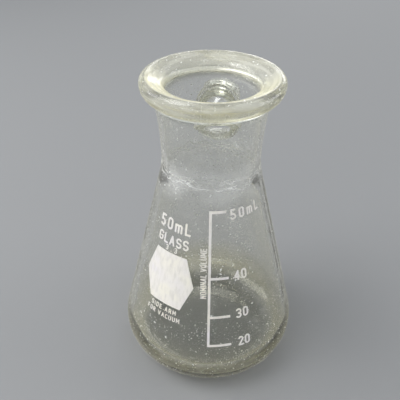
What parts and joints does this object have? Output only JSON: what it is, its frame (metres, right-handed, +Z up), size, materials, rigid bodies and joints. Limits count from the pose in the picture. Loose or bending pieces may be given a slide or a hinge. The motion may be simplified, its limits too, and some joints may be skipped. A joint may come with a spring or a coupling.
{
  "type": "erlenmeyer filter flask",
  "caption": "Small thick-walled conical flask with a beaded mouth, a ridged side arm for a vacuum hose, and white enamel graduations with a marking spot.",
  "frame": {"origin": "centre of the base on the flask's axis, at the height of the surface it stands on", "axes": "+Z up the flask's axis, out of the mouth; +Y along the side arm, away from the neck; the graduated side faces -Y"},
  "size_m": [0.0488, 0.0498, 0.081],
  "materials": {
    "glass": "clear gloss",
    "enamel": "satin"
  },
  "bodies": {
    "root": {"flask_body": "glass", "side_arm": "glass", "graduation_scale": "enamel", "numeral_20": "enamel", "numeral_30": "enamel", "numeral_40": "enamel", "numeral_50_ml": "enamel", "scale_legend": "enamel", "capacity_mark": "enamel", "glass_mark": "enamel", "glass_grade": "enamel", "marking_spot": "enamel", "note_upper": "enamel", "note_lower": "enamel"}
  },
  "joints": []
}
